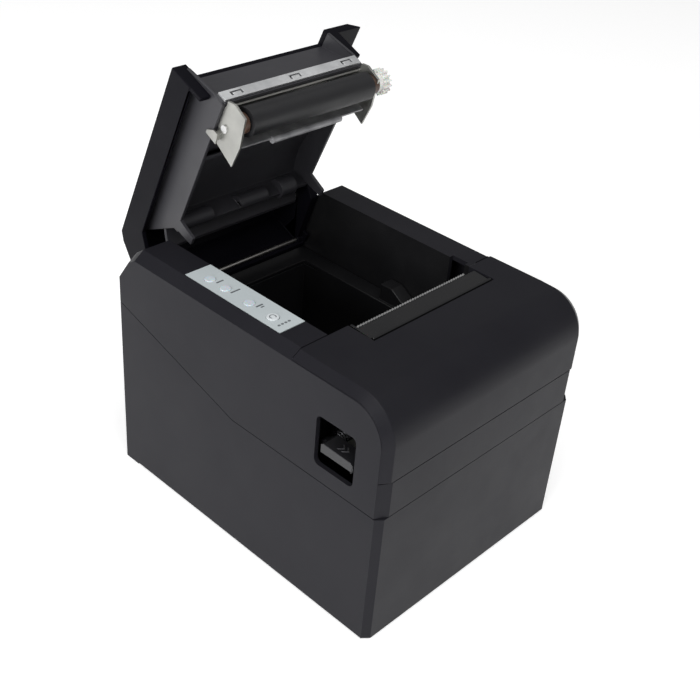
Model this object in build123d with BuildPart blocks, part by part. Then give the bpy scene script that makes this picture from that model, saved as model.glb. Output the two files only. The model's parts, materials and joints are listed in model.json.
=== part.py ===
"""Receipt printer: an 80 mm thermal printer with its paper lid standing open.

Millimetres. +Z is up, the front faces -Y, and the origin is the middle of the
rest plane under the feet. The lid and all that rides on it are drawn shut, then
swung open about the hinge shaft, because the open lid is the rest position.
"""

import os
from math import atan2, cos, pi, sin

from build123d import *

os.makedirs("parts", exist_ok=True)

# ---------------------------------------------------------------- body sizes
width = 145.0
depth = 186.6
height = 134.0
wall = 2.5
half_width = width / 2
front = -depth / 2
rear = depth / 2
skirt_bottom = 0.8

# ---------------------------------------------------------------- split lines
seam_front = 75.5  # base to upper housing, at the front
seam_rear = 101.6  # the same line where it meets the rear
seam_bend = 3.9  # where the line starts to climb
cover_gap = 0.5
lip_gap = 0.9
seam_gap = 0.4
foot_x = 56.0
foot_y = 62.0
foot_radius = 7.2
plate_bottom = 2.0
plate_top = 5.0
floor_post_x = 62.0
floor_post_y = 78.0
column_rows = (-74.0, -30.0)
column_lines = (-36.0, 40.0)
shelf_post_rows = (14.0, 62.0)
shelf_post_lines = (-46.0, 52.0)
cover_rear = -33.6
cover_bottom = 94.8
cover_thick = 3.3
front_round = 21.3
rear_flat_end = 79.0

# ---------------------------------------------------------------- bay and lid
lid_left = -49.3
bay_left = -49.9
bay_right = 56.5
rim_drop = 4.3
ledge = 90.6
lid_front = -33.0
lid_skin = 3.0
flange_skin = 4.0
hinge_y = 90.6
hinge_z = 96.0
hinge_radius = 1.25
running_gap = 0.06
lid_angle = 66.4

# ---------------------------------------------------------------- paper path
centre = 3.5  # middle of the paper path, across the printer
platen_y = -31.3
platen_z = 93.8
platen_radius = 7.0
platen_length = 80.0
cheek = 46.5  # from the middle of the paper path to each cheek
cheek_left = centre - cheek
cheek_right = centre + cheek
frame_bottom = 104.0
lid_post_lines = (-30.0, 37.0)
lid_post_y = -8.0

# ---------------------------------------------------------------- gears
module = 0.8
pinion_teeth = 14
drive_teeth = 36
platen_teeth = 15
gear_left = 51.5
gear_right = 56.2
drive_y = -47.3
drive_z = 78.3
motor_y = -62.0
motor_z = drive_z - ((module * (pinion_teeth + drive_teeth) / 2) ** 2 - (drive_y - motor_y) ** 2) ** 0.5

lid_open = (
    Location((0, hinge_y, hinge_z), (-lid_angle, 0, 0))
    * Location((0, -hinge_y, -hinge_z))
)


# ================================================================ helpers
def block(low, high, mode=Mode.ADD):
    """A box between two opposite corners."""
    middle = [(a + b) / 2 for a, b in zip(low, high)]
    size = [abs(b - a) for a, b in zip(low, high)]
    with Locations(tuple(middle)):
        Box(*size, mode=mode)


def side_plate(points, x_low, x_high, mode=Mode.ADD):
    """An outline in Y and Z, extruded across the printer."""
    with BuildSketch(Plane.YZ.offset(x_low)) as outline:
        with BuildLine():
            Polyline(*points, close=True)
        make_face()
    extrude(outline.sketch, amount=x_high - x_low, mode=mode)


def front_plate(points, y_low, y_high, mode=Mode.ADD):
    """An outline in X and Z, extruded towards the rear."""
    with BuildSketch(Plane.XZ.offset(-y_low)) as outline:
        with BuildLine():
            Polyline(*points, close=True)
        make_face()
    extrude(outline.sketch, amount=-(y_high - y_low), mode=mode)


def rod_x(y, z, radius, x_low, x_high, mode=Mode.ADD):
    """A round bar across the printer."""
    with BuildSketch(Plane.YZ.offset(x_low)) as disc:
        with Locations((y, z)):
            Circle(radius)
    extrude(disc.sketch, amount=x_high - x_low, mode=mode)


def rod_y(x, z, radius, y_low, y_high, mode=Mode.ADD):
    """A round bar from front to rear."""
    with BuildSketch(Plane.XZ.offset(-y_low)) as disc:
        with Locations((x, z)):
            Circle(radius)
    extrude(disc.sketch, amount=-(y_high - y_low), mode=mode)


def rod_z(x, y, radius, z_low, z_high, mode=Mode.ADD):
    """An upright round bar."""
    with BuildSketch(Plane.XY.offset(z_low)) as disc:
        with Locations((x, y)):
            Circle(radius)
    extrude(disc.sketch, amount=z_high - z_low, mode=mode)


def side_outline(plane, inset_front, inset_top, inset_rear):
    """The side view of the whole body, pulled in by the given amounts."""
    top = height - inset_top
    nose = front + inset_front
    tail = rear - inset_rear
    arc = front_round - inset_front
    drop = inset_top * 0.8
    with BuildSketch(plane) as outline:
        with BuildLine():
            up = Line((nose, 0), (nose, top - arc))
            over = RadiusArc(up @ 1, (nose + arc, top), arc)
            Polyline(
                over @ 1,
                (rear_flat_end - inset_rear * 0.4, top),
                (84.5 - inset_rear * 0.6, 130.0 - drop),
                (tail, 117.0 - drop * 0.5),
                (tail, 0),
                (nose, 0),
            )
        make_face()
    return outline.sketch


def body_form(bevel, inset_front, inset_top, inset_rear):
    """The body as one block, with bevelled edges along both sides."""
    flank = half_width - bevel
    with BuildPart() as form:
        middle = side_outline(Plane.YZ.offset(-flank), 0, 0, 0)
        extrude(middle, amount=2 * flank)
        for side in (-1, 1):
            inner = side_outline(Plane.YZ.offset(side * flank), 0, 0, 0)
            outer = side_outline(
                Plane.YZ.offset(side * half_width), inset_front, inset_top, inset_rear
            )
            loft([inner, outer], ruled=True)
    return form.part


def cavity(inset, z_low, z_high):
    """The hollow inside the body, for a wall as thick as the inset."""
    with BuildPart() as hollow:
        outline = side_outline(
            Plane.YZ.offset(-half_width + inset), inset + 1.0, inset + 2.0, inset
        )
        extrude(outline, amount=width - 2 * inset)
        block((-80, -100, -20), (80, 100, z_low), mode=Mode.SUBTRACT)
        block((-80, -100, z_high), (80, 100, 160), mode=Mode.SUBTRACT)
    return hollow.part


def seam_region(shift, z_top):
    """Side outline of everything above the seam between base and upper housing."""
    return [
        (front - 5, seam_front + shift),
        (seam_bend, seam_front + shift),
        (rear + 5, seam_rear + shift + 5 * (seam_rear - seam_front) / (rear - seam_bend)),
        (rear + 5, z_top),
        (front - 5, z_top),
    ]


def gear_outline(plane, y, z, teeth, turn):
    """A spur gear seen along X. The flanks narrow towards the tips."""
    pitch_radius = module * teeth / 2
    root = pitch_radius - 1.15 * module
    tip = pitch_radius + 0.85 * module
    step = 2 * pi / teeth
    points = []
    for tooth in range(teeth):
        for share, radius in ((-0.30, root), (-0.105, tip), (0.105, tip), (0.30, root)):
            angle = turn + (tooth + share) * step
            points.append((y + radius * cos(angle), z + radius * sin(angle)))
    with BuildSketch(plane) as outline:
        with BuildLine():
            Polyline(*points, close=True)
        make_face()
    return outline.sketch


def coil(start, direction, length, turns, radius, wire):
    """A coil spring at its fitted length, added to the piece being built."""
    foot = Plane(start, z_dir=direction)
    path = foot.location * Helix(length / turns, length, radius)
    with BuildSketch(Plane(path @ 0, z_dir=path % 0)) as section:
        Circle(wire)
    sweep(section.sketch, path=path)


base_form = body_form(3.5, 3.0, 3.0, 2.0)
upper_form = body_form(6.3, 3.4, 4.0, 2.0)
cover_form = body_form(5.0, cover_thick, cover_thick, 2.0)

# The inner faces of the lid's skin over the bay and over the right rim.
skin_inner = [
    (-60, 60),
    (-60, height - lid_skin),
    (rear_flat_end - 1.2, height - lid_skin),
    (82.0, 127.6),
    (rear - lid_skin, 116.0),
    (rear - lid_skin, 60),
]
rim_top = [
    (cover_rear + 0.3, 160),
    (cover_rear + 0.3, height - rim_drop),
    (rear_flat_end - 1.8, height - rim_drop),
    (80.9, 126.6),
    (rear - rim_drop, 114.7),
    (rear + 5, 114.7),
    (rear + 5, 160),
]
flange_inner = [
    (-60, 60),
    (-60, height - flange_skin),
    (rear_flat_end - 1.6, height - flange_skin),
    (81.1, 127.0),
    (rear - flange_skin, 115.0),
    (rear + 5, 115.0),
    (rear + 5, 60),
]


# ================================================================ lower housing
with BuildPart() as base_shell:
    add(base_form)
    side_plate(seam_region(-seam_gap, 160), -80, 80, mode=Mode.SUBTRACT)
    add(cavity(wall, -5, 140), mode=Mode.SUBTRACT)
    block((-80, -100, -5), (80, 81.0, skirt_bottom), mode=Mode.SUBTRACT)
    # The rear wall is low behind the lid and open at the port panel.
    block((bay_left, 85, ledge), (bay_right, rear + 1, 130), mode=Mode.SUBTRACT)
    block((-52, rear - wall - 1, 9.5), (60, rear + 1, 58), mode=Mode.SUBTRACT)
    rod_x(hinge_y, hinge_z, hinge_radius + 0.35, -53, 59.6, mode=Mode.SUBTRACT)
    # Screw posts that the floor is fixed to.
    for x in (-floor_post_x, floor_post_x):
        for y in (-floor_post_y, floor_post_y):
            rod_z(x, y, 4.0, 5.5, 40)
            block((x - 1, y, 5.5), (x + 1, y * 1.17, 40))
            rod_z(x, y, 1.4, 4, 16, mode=Mode.SUBTRACT)
    # Columns under the printing mechanism, tied to the side walls.
    for x in column_lines:
        for y in column_rows:
            rod_z(x, y, 3.5, 5.5, 44)
            side = -71 if x < 0 else 71
            block((min(x, side), y - 0.8, 5.5), (max(x, side), y + 0.8, 30))

    # Posts under the shelf of the paper bay.
    for x in shelf_post_lines:
        for y in shelf_post_rows:
            rod_z(x, y, 2.8, 12, 88.2)
            side = -71 if x < 0 else 71
            block((min(x, side), y - 0.8, 40), (max(x, side), y + 0.8, 70))

with BuildPart() as bottom_plate:
    block(
        (-half_width + wall + 0.3, front + wall + 1.3, plate_bottom),
        (half_width - wall - 0.3, rear - wall - 0.3, plate_top),
    )
    # Cooling slots, sockets for the feet and screw holes.
    for row in range(7):
        y = -30 + row * 7
        block((-16, y, 1), (16, y + 3, 6), mode=Mode.SUBTRACT)
    for x in (-foot_x, foot_x):
        for y in (-foot_y, foot_y):
            rod_z(x, y, foot_radius, 1.5, 3.2, mode=Mode.SUBTRACT)
    for x in (-floor_post_x, floor_post_x):
        for y in (-floor_post_y, floor_post_y):
            rod_z(x, y, 1.6, 1, 6, mode=Mode.SUBTRACT)

with BuildPart() as rubber_feet:
    for x in (-foot_x, foot_x):
        for y in (-foot_y, foot_y):
            rod_z(x, y, foot_radius, 0, 3.2)
    foot_rims = rubber_feet.edges().group_by(Axis.Z)[0]
    chamfer(foot_rims, 0.6)

with BuildPart() as base_screws:
    for x in (-floor_post_x, floor_post_x):
        for y in (-floor_post_y, floor_post_y):
            rod_z(x, y, 1.3, 2.0, 14)
            rod_z(x, y, 2.6, 0.9, 2.0)
            block((x - 2.0, y - 0.35, 0.8), (x + 2.0, y + 0.35, 1.5), mode=Mode.SUBTRACT)
            block((x - 0.35, y - 2.0, 0.8), (x + 0.35, y + 2.0, 1.5), mode=Mode.SUBTRACT)

# ================================================================ upper housing
window_front = -76.0
window_rear = -51.8
window_bottom = 84.0
window_top = 111.0
label_left = -65.9
label_front = -19.5
label_rear = 47.5
lamp_x = -59.3
lamp_rows = (36.4, 25.2, 8.4)
button_row = -7.7
lamp_hole = 2.9
lamp_radius = 2.8
button_hole = 3.2
button_radius = 3.0

# The ring inside the seam that locates the two housings.
with BuildPart() as seam_lip:
    add(cavity(wall + 0.15, 0, 140))
    add(cavity(wall + 1.6, -1, 141), mode=Mode.SUBTRACT)
    side_plate(seam_region(3.0, 160), -80, 80, mode=Mode.SUBTRACT)
    side_plate(seam_region(-4.0, -20), -80, 80, mode=Mode.SUBTRACT)
    block((bay_left - 1, 60, 0), (bay_right + 1, 100, 140), mode=Mode.SUBTRACT)

# The space that the front cover takes.
with BuildPart() as cover_space:
    block((-80, -100, cover_bottom), (80, cover_rear, 150))
    cover_inner = side_outline(Plane.YZ.offset(-80), cover_thick, cover_thick, 2.0)
    extrude(cover_inner, amount=160, mode=Mode.SUBTRACT)

rim_skin = [(y, z - 2.6) for y, z in reversed(rim_top[1:5])]

with BuildPart() as upper_shell:
    add(upper_form)
    side_plate(seam_region(0, -20), -80, 80, mode=Mode.SUBTRACT)
    add(cavity(wall, 0, 140), mode=Mode.SUBTRACT)
    add(seam_lip.part)
    # Walls down both sides of the bay, and the lowered rim on the right.
    bay_side = [(cover_rear + 0.3, 87.6), (cover_rear + 0.3, 130), (80, 130)]
    bay_side += [(90.8, 114.5), (90.8, 87.6)]
    rim_side = [(cover_rear + 0.3, 87.6), (cover_rear + 0.3, 128.5), (77, 128.5)]
    rim_side += [(88.9, 114), (90.8, 114), (90.8, 87.6)]
    side_plate(bay_side, bay_left - 2.5, bay_left)
    side_plate(rim_side, bay_right, bay_right + 2.5)
    side_plate(rim_top[1:5] + rim_skin, bay_right, half_width - 1.5)
    side_plate(rim_top, bay_right - 1, 80, mode=Mode.SUBTRACT)
    block((bay_left, cover_rear, ledge), (bay_right, rear + 1, 140), mode=Mode.SUBTRACT)
    block((bay_right - 1, -27, 112), (59.2, -17, 140), mode=Mode.SUBTRACT)
    # The front cover replaces the skin ahead of the bay, down to a tongue at its foot.
    inner_half = half_width - wall
    block((-inner_half, -100, cover_bottom), (inner_half, cover_rear, 150), Mode.SUBTRACT)
    block((-66, -90.2, 88), (66, -88.2, cover_bottom - 0.4))
    block((-66, -89.7, 94), (66, -88.2, 99))
    # Panels under the rear edge of the front cover, beside the paper exit.
    block((-70.2, cover_rear - 2.7, 79), (-46.5, cover_rear, 130.4))
    block((61, cover_rear - 2.7, 79), (70.2, cover_rear, 129.4))
    add(cover_space.part, mode=Mode.SUBTRACT)
    # Pegs for the small board under the label.
    for y in (-13.5, 41.0):
        rod_z(-63.5, y, 1.8, 120.8, 130.5)
    # Window for the release lever.
    with BuildSketch(Plane.YZ.offset(-half_width - 1)) as window:
        middle_y = (window_front + window_rear) / 2
        middle_z = (window_bottom + window_top) / 2
        with Locations((middle_y, middle_z)):
            RectangleRounded(window_rear - window_front, window_top - window_bottom, 3)
    extrude(window.sketch, amount=wall + 2, mode=Mode.SUBTRACT)
    # Shallow seat for the label, with holes for the lamps and the button.
    block((label_left, label_front, height - 0.6), (bay_left + 1, label_rear, 140), Mode.SUBTRACT)
    for y in lamp_rows:
        rod_z(lamp_x, y, lamp_hole, 120, 140, mode=Mode.SUBTRACT)
    rod_z(lamp_x, button_row, button_hole, 120, 140, mode=Mode.SUBTRACT)
    # Holes for the ends of the hinge shaft.
    rod_x(hinge_y, hinge_z, hinge_radius + 0.05, bay_left - 3, bay_left + 1, Mode.SUBTRACT)
    rod_x(hinge_y, hinge_z, hinge_radius + 0.05, bay_right - 1, bay_right + 3, Mode.SUBTRACT)

# ================================================================ front cover
exit_left = centre - 40.7
exit_right = centre + 46.5
exit_front = -50.3

with BuildPart() as front_cover:
    add(cover_form)
    cover_hollow = side_outline(Plane.YZ.offset(-80), cover_thick, cover_thick, 2.0)
    extrude(cover_hollow, amount=160, mode=Mode.SUBTRACT)
    block((-80, cover_rear - cover_gap, -5), (80, 100, 150), mode=Mode.SUBTRACT)
    block((-80, -100, -5), (80, 0, cover_bottom + seam_gap), mode=Mode.SUBTRACT)
    block((exit_left, exit_front, 100), (exit_right, 0, 150), mode=Mode.SUBTRACT)

with BuildPart() as exit_lip:
    lip_profile = [
        (exit_front + lip_gap, 126.0),
        (exit_front + lip_gap, height - 0.1),
        (exit_front + lip_gap + 0.9, height + 0.4),
        (exit_front + lip_gap + 2.0, height - 0.8),
        (-38.5, height - 0.1),
        (-38.5, 126.0),
    ]
    side_plate(lip_profile, exit_left + lip_gap, exit_right - lip_gap)
    block((exit_left + lip_gap, -38.5, 126), (exit_left + 2.1, -34.4, height))
    # Flange that holds the strip against the underside of the cover.
    block((exit_left - 4, exit_front - 4, 128.7), (exit_right + 4, -38.5, 130.5))

with BuildPart() as tear_bar:
    tear_left = centre - 38.6
    tear_right = centre + 38.4
    teeth = 43
    tooth = (tear_right - tear_left) / teeth
    edge = [(tear_left, 118.0)]
    for index in range(teeth):
        edge.append((tear_left + index * tooth, height))
        edge.append((tear_left + (index + 0.5) * tooth, height + 0.7))
    edge += [(tear_right, height), (tear_right, 118.0)]
    front_plate(edge, -38.5, -37.5)

# ================================================================ label, lamps and button
with BuildPart() as indicator_panel:
    block(
        (label_left + 0.3, label_front + 0.3, height - 0.6),
        (bay_left - 0.1, label_rear - 0.3, height + 0.1),
    )
    for y in lamp_rows:
        rod_z(lamp_x, y, lamp_hole, 130, 140, mode=Mode.SUBTRACT)
    rod_z(lamp_x, button_row, button_hole, 130, 140, mode=Mode.SUBTRACT)

with BuildPart() as status_lenses:
    for y in lamp_rows:
        rod_z(lamp_x, y, lamp_radius, 122.4, height + 0.5)
    lens_rims = status_lenses.edges().group_by(Axis.Z)[-1]
    fillet(lens_rims, 0.45)

with BuildPart() as feed_button:
    rod_z(lamp_x, button_row, button_radius, 126.5, height + 0.6)
    rod_z(lamp_x, button_row, 1.6, 124.2, 126.6)
    button_rim = feed_button.edges().group_by(Axis.Z)[-1]
    fillet(button_rim, 0.35)

with BuildPart() as panel_board:
    block((-66, -16, 119.2), (-53.4, 44, 120.8))
    for y in lamp_rows:
        rod_z(lamp_x, y, 1.5, 120.8, 122.2)
    block((lamp_x - 3, button_row - 3, 120.8), (lamp_x + 3, button_row + 3, 122.5))

# ================================================================ paper bay
roll_y = 35.0
roll_z = 58.0
tub_radius = 42.0
tub_left = centre - 42.0
tub_right = centre + 42.0

with BuildPart() as paper_bay:
    with BuildSketch(Plane.YZ.offset(tub_left - 2)) as tub_outer:
        with Locations((roll_y, roll_z)):
            Circle(tub_radius + 2)
        with Locations((roll_y, roll_z + 15)):
            Rectangle(2 * tub_radius + 4, 30)
    extrude(tub_outer.sketch, amount=tub_right - tub_left + 4)
    # Shelf round the mouth of the tub.
    block((bay_left + 0.3, roll_y - tub_radius - 0.5, 88.4), (bay_right - 0.3, 90.3, ledge - 0.2))
    with BuildSketch(Plane.YZ.offset(tub_left)) as tub_inner:
        with Locations((roll_y, roll_z)):
            Circle(tub_radius)
        with Locations((roll_y, roll_z + 25)):
            Rectangle(2 * tub_radius, 50)
    extrude(tub_inner.sketch, amount=tub_right - tub_left, mode=Mode.SUBTRACT)
    block((-80, -60, ledge - 0.2), (80, 100, 120), mode=Mode.SUBTRACT)
    # Fairing over the gears, with a sloping nose.
    fairing = [(20.0, 89.0), (20.0, 100.0), (12.0, 100.0), (0.0, 92.5), (0.0, 89.0)]
    side_plate(fairing, centre + 44.0, bay_right - 0.3)

with BuildPart() as lower_guide:
    guide = [(-13.4, 88.2), (-36.4, 82.6), (-36.4, 80.8), (-12.0, 86.6), (-12.0, 88.2)]
    side_plate(guide, centre - 41.5, centre + 41.5)
    for x in (-30, -10, 17, 37):
        rib = [(-14, 86.5), (-35, 81.4), (-35, 76), (-14, 76)]
        side_plate(rib, x - 0.8, x + 0.8)
    # Bar that ties the ribs to the side plates of the mechanism.
    block((centre - 47.8, -33, 76), (centre + 45.8, -27, 79))
    rod_z(centre - 2, -21, 2.0, 80, 90, mode=Mode.SUBTRACT)

# ================================================================ mechanism frame
frame_left = centre - 49.0
frame_right = centre + 45.8
mech_floor = 44.0
mech_top = 102.0
latch_y = -52.0
latch_z = 90.0
latch_radius = 2.0
sheet = 1.2

with BuildPart() as mech_frame:
    block((frame_left, -80, mech_floor), (frame_right + sheet, -24, mech_floor + sheet))
    cheek_plate = [
        (-80, mech_floor),
        (-80, 98),
        (-76, mech_top),
        (-16, mech_top),
        (-13, 96),
        (-13, 88),
        (-24, 76),
        (-24, mech_floor),
    ]
    side_plate(cheek_plate, frame_left, frame_left + sheet)
    side_plate(cheek_plate, frame_right, frame_right + sheet)
    # Open notches that the platen drops into.
    notch = [(-38.2, 110), (-37.2, 94), (-35.6, 89.6), (-33.3, 88.1)]
    notch += [(-29.3, 88.1), (-27.0, 89.6), (-25.4, 94), (-24.4, 110)]
    side_plate(notch, frame_left - 1, frame_left + 3, mode=Mode.SUBTRACT)
    side_plate(notch, frame_right - 1, frame_right + 3, mode=Mode.SUBTRACT)
    for x in column_lines:
        for y in column_rows:
            rod_z(x, y, 1.6, 40, 50, mode=Mode.SUBTRACT)
    # Bores for the latch shaft and the nose of the motor.
    rod_x(latch_y, latch_z, latch_radius + running_gap, -60, 60, mode=Mode.SUBTRACT)
    rod_x(motor_y, motor_z, 4.3, frame_right - 1, frame_right + 3, mode=Mode.SUBTRACT)

with BuildPart() as mech_screws:
    for x in column_lines:
        for y in column_rows:
            rod_z(x, y, 1.5, mech_floor, mech_floor + 2)
            rod_z(x, y, 3.0, mech_floor + sheet, mech_floor + 3)
            block((x - 2.2, y - 0.35, mech_floor + 2.4), (x + 2.2, y + 0.35, 50), Mode.SUBTRACT)

with BuildPart() as print_head:
    block((centre - 39.8, -40.4, 82.8), (centre + 39.8, -39.3, 102.4))
    # The heating line stands a little proud, level with the platen.
    block((centre - 39.8, -39.3, platen_z - 1.5), (centre + 39.8, -38.8, platen_z + 1.5))

with BuildPart() as heat_sink:
    block((centre - 41, -44.4, 80), (centre + 41, -40.4, 102.4))
    for fin in range(8):
        z = 81 + fin * 2.8
        block((centre - 41, -47.4, z), (centre + 41, -44.4, z + 1.2))

with BuildPart() as head_springs:
    for x in (centre - 22, centre + 22):
        coil((x, -56.7, 97), (0, 1, 0), 8.8, 7, 2.4, 0.45)

with BuildPart() as spring_bracket:
    block((frame_left + sheet, -58.4, 84), (frame_right, -57.2, 101))

# ================================================================ feed drive
with BuildPart() as feed_motor:
    rod_x(motor_y, motor_z, 17.0, 24, frame_right)
    rod_x(motor_y, motor_z, 4.0, frame_right, frame_right + sheet)
    rod_x(motor_y, motor_z, 1.5 + running_gap, 30, frame_right + 3, mode=Mode.SUBTRACT)
    block((30, motor_y - 6, motor_z - 19.2), (42, motor_y + 6, motor_z - 16))

mesh_turn = atan2(motor_z - drive_z, motor_y - drive_y)

with BuildPart() as motor_pinion:
    pinion_turn = mesh_turn + pi + pi / pinion_teeth
    pinion_face = gear_outline(
        Plane.YZ.offset(gear_left), motor_y, motor_z, pinion_teeth, pinion_turn
    )
    extrude(pinion_face, amount=gear_right - gear_left)
    rod_x(motor_y, motor_z, 1.5, 31, gear_left)

with BuildPart() as drive_gear:
    drive_face = gear_outline(
        Plane.YZ.offset(gear_left), drive_y, drive_z, drive_teeth, mesh_turn
    )
    extrude(drive_face, amount=gear_right - gear_left)
    with BuildSketch(Plane.YZ.offset(gear_right - 1.4)) as web:
        with Locations((drive_y, drive_z)):
            Circle(11.5)
            Circle(4.5, mode=Mode.SUBTRACT)
    extrude(web.sketch, amount=2, mode=Mode.SUBTRACT)
    rod_x(drive_y, drive_z, 2.5 + running_gap, 50, 60, mode=Mode.SUBTRACT)

with BuildPart() as gear_stud:
    rod_x(drive_y, drive_z, 2.5, frame_right + sheet, gear_right + 1.6)
    rod_x(drive_y, drive_z, 3.6, gear_right + 0.5, gear_right + 1.1)

# ================================================================ cutter
blade_z = 103.0
cutter_motor_x = centre - 25.5
cutter_motor_z = 116.0

with BuildPart() as cutter_frame:
    block((frame_left, -79, 104.4), (frame_right + sheet, -41.2, 105.6))
    block((frame_left, -79, mech_top), (frame_left + sheet, -41.2, 104.4))
    block((frame_right, -79, mech_top), (frame_right + sheet, -41.2, 104.4))
    block((centre - 41, -79, 105.6), (centre + 41, -77.8, 114))
    # Opening over the rack and the fixing slots.
    block((centre - 29, -66, 104), (centre - 22, -50, 106), mode=Mode.SUBTRACT)
    block((centre + 10, -70, 104), (centre + 30, -62, 106), mode=Mode.SUBTRACT)

with BuildPart() as cutter_blade:
    blade_points = [(centre - 41.5, -66.0), (centre - 41.5, -43.5), (centre, -45.5)]
    blade_points += [(centre + 41.5, -43.5), (centre + 41.5, -66.0)]
    with BuildSketch(Plane.XY.offset(blade_z)) as blade_face:
        with BuildLine():
            Polyline(*blade_points, close=True)
        make_face()
    extrude(blade_face.sketch, amount=0.8)

with BuildPart() as cutter_motor:
    rod_y(cutter_motor_x, cutter_motor_z, 7.0, -76, -52)
    rod_y(cutter_motor_x, cutter_motor_z, 3.0, -52, -50.5)

with BuildPart() as cutter_gearbox:
    block((centre - 33, -50.4, 105.7), (centre - 18, -43, 122.5))

# ================================================================ lid release
with BuildPart() as release_latch:
    # Shaft across the printer, with a thumb piece at its left end.
    rod_x(latch_y, latch_z, latch_radius, -66.0, 51.0)
    thumb = [
        (-74.6, 91.0),
        (-74.6, 94.2),
        (-72.5, 96.0),
        (-56.0, 96.6),
        (-54.4, 95.4),
        (-54.4, 91.0),
    ]
    side_plate(thumb, -71.6, -62.0)
    arm = [(-60, 91), (-60, 95.6), (-52, 93.6), (-49.2, 92), (-49.2, 88), (-53, 87)]
    side_plate(arm, -66.0, -62.0)
    thumb_edges = release_latch.edges().filter_by(Axis.X).sort_by(Axis.Y)[0:2]
    fillet(thumb_edges, 0.8)
    # Hooks that reach up beside the platen.
    hook = [
        (-54.5, 87.5),
        (-50.0, 87.0),
        (-44.0, 90.5),
        (-40.2, 95.5),
        (-39.0, 99.2),
        (-40.3, 100.6),
        (-42.2, 99.6),
        (-43.6, 95.8),
        (-47.5, 92.8),
        (-54.5, 92.8),
    ]
    side_plate(hook, -44.0, -42.8)
    side_plate(hook, 46.6, 48.2)

with BuildPart() as lever_spring:
    coil((-58.0, latch_y, latch_z), (1, 0, 0), 9.0, 6, 3.1, 0.5)

# ================================================================ electronics
board_fixings = ((-50, -14), (53, -14), (-50, 84), (53, 84))
board_bottom = 8.6
board_top = 10.2

with BuildPart() as main_board:
    block((-54, -18, board_bottom), (56, 88, board_top))
    block((-30, 0, board_top), (-14, 16, board_top + 2.0))
    block((10, -8, board_top), (22, 4, board_top + 1.8))
    for x in (-46, -38, 34):
        rod_z(x, -6, 3.2, board_top, board_top + 3.4)
    for x, y in board_fixings:
        rod_z(x, y, 1.6, 5, 20, mode=Mode.SUBTRACT)

with BuildPart() as board_pillars:
    for x, y in board_fixings:
        rod_z(x, y, 3.0, plate_top, board_bottom)
        rod_z(x, y, 1.4, board_bottom, board_top)
        rod_z(x, y, 2.6, board_top, board_top + 1.4)

panel_front = rear - wall - 1.2
socket_face = rear - wall + 0.6
port_z = 17.0
inlet_x = -34.0
serial_x = -4.5
usb_x = 23.1
drawer_x = 42.5
rocker_x = -32.5
rocker_z = 44.0

with BuildPart() as port_panel:
    block((-54, panel_front, 6.5), (60.8, rear - wall, 60))
    for x, half, top in ((inlet_x, 6.5, 24.3), (serial_x, 15.7, 23.5), (usb_x, 6.3, 23.1)):
        block((x - half, 80, board_top - 0.2), (x + half, 95, top), mode=Mode.SUBTRACT)
    block((drawer_x - 7.3, 80, board_top - 0.2), (drawer_x + 7.3, 95, 24.9), Mode.SUBTRACT)
    block((rocker_x - 9.7, 80, 37.6), (rocker_x + 9.7, 95, 50.4), mode=Mode.SUBTRACT)

with BuildPart() as dc_inlet:
    block((inlet_x - 6.3, 76, board_top), (inlet_x + 6.3, socket_face, port_z + 7.1))
    rod_y(inlet_x, port_z + 0.6, 4.6, 79, 100, mode=Mode.SUBTRACT)
    for turn in range(3):
        angle = pi / 2 + turn * 2 * pi / 3
        pin_x = inlet_x + 2.4 * cos(angle)
        rod_y(pin_x, port_z + 0.6 + 2.4 * sin(angle), 0.5, 78, 88)

with BuildPart() as serial_socket:
    block((serial_x - 15.5, 78, board_top), (serial_x + 15.5, socket_face, port_z + 6.3))
    shell_outline = [
        (serial_x - 8.5, 12.9),
        (serial_x + 8.5, 12.9),
        (serial_x + 9.7, 21.1),
        (serial_x - 9.7, 21.1),
    ]
    front_plate(shell_outline, socket_face, rear - 0.1)
    for row_z, count in ((15.6, 4), (18.4, 5)):
        for index in range(count):
            x = serial_x + (index - (count - 1) / 2) * 2.77
            rod_y(x, row_z, 0.5, 90, 96, mode=Mode.SUBTRACT)
    for side in (-1, 1):
        with BuildSketch(Plane.XZ.offset(-socket_face)) as hex_nut:
            with Locations((serial_x + side * 12.7, port_z)):
                RegularPolygon(2.4, 6)
        extrude(hex_nut.sketch, amount=socket_face - rear + 0.3)

with BuildPart() as usb_socket:
    block((usb_x - 6.1, 75, board_top), (usb_x + 6.1, socket_face, port_z + 5.9))
    block((usb_x - 4.5, 79, 12.4), (usb_x + 4.5, 100, 21.2), mode=Mode.SUBTRACT)
    block((usb_x - 2.2, 78, 15.4), (usb_x + 2.2, 88, 18.2))

with BuildPart() as drawer_socket:
    block((drawer_x - 7.1, 75, board_top), (drawer_x + 7.1, socket_face, port_z + 7.7))
    block((drawer_x - 5.3, 79, 13.0), (drawer_x + 5.3, 100, 20.6), mode=Mode.SUBTRACT)
    block((drawer_x - 2.7, 79, 20.0), (drawer_x + 2.7, 100, 23.0), mode=Mode.SUBTRACT)

with BuildPart() as switch_body:
    block((rocker_x - 9.5, 79.6, rocker_z - 6.2), (rocker_x + 9.5, 91.0, rocker_z + 6.2))
    block((rocker_x - 11, rear - wall, rocker_z - 7.4), (rocker_x + 11, 92.4, rocker_z + 7.4))
    block((rocker_x - 8, 81.6, rocker_z - 4.8), (rocker_x + 8, 100, rocker_z + 4.8), Mode.SUBTRACT)
    rod_z(rocker_x, 88.0, 1.2, rocker_z - 5.6, rocker_z + 5.6)

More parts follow.
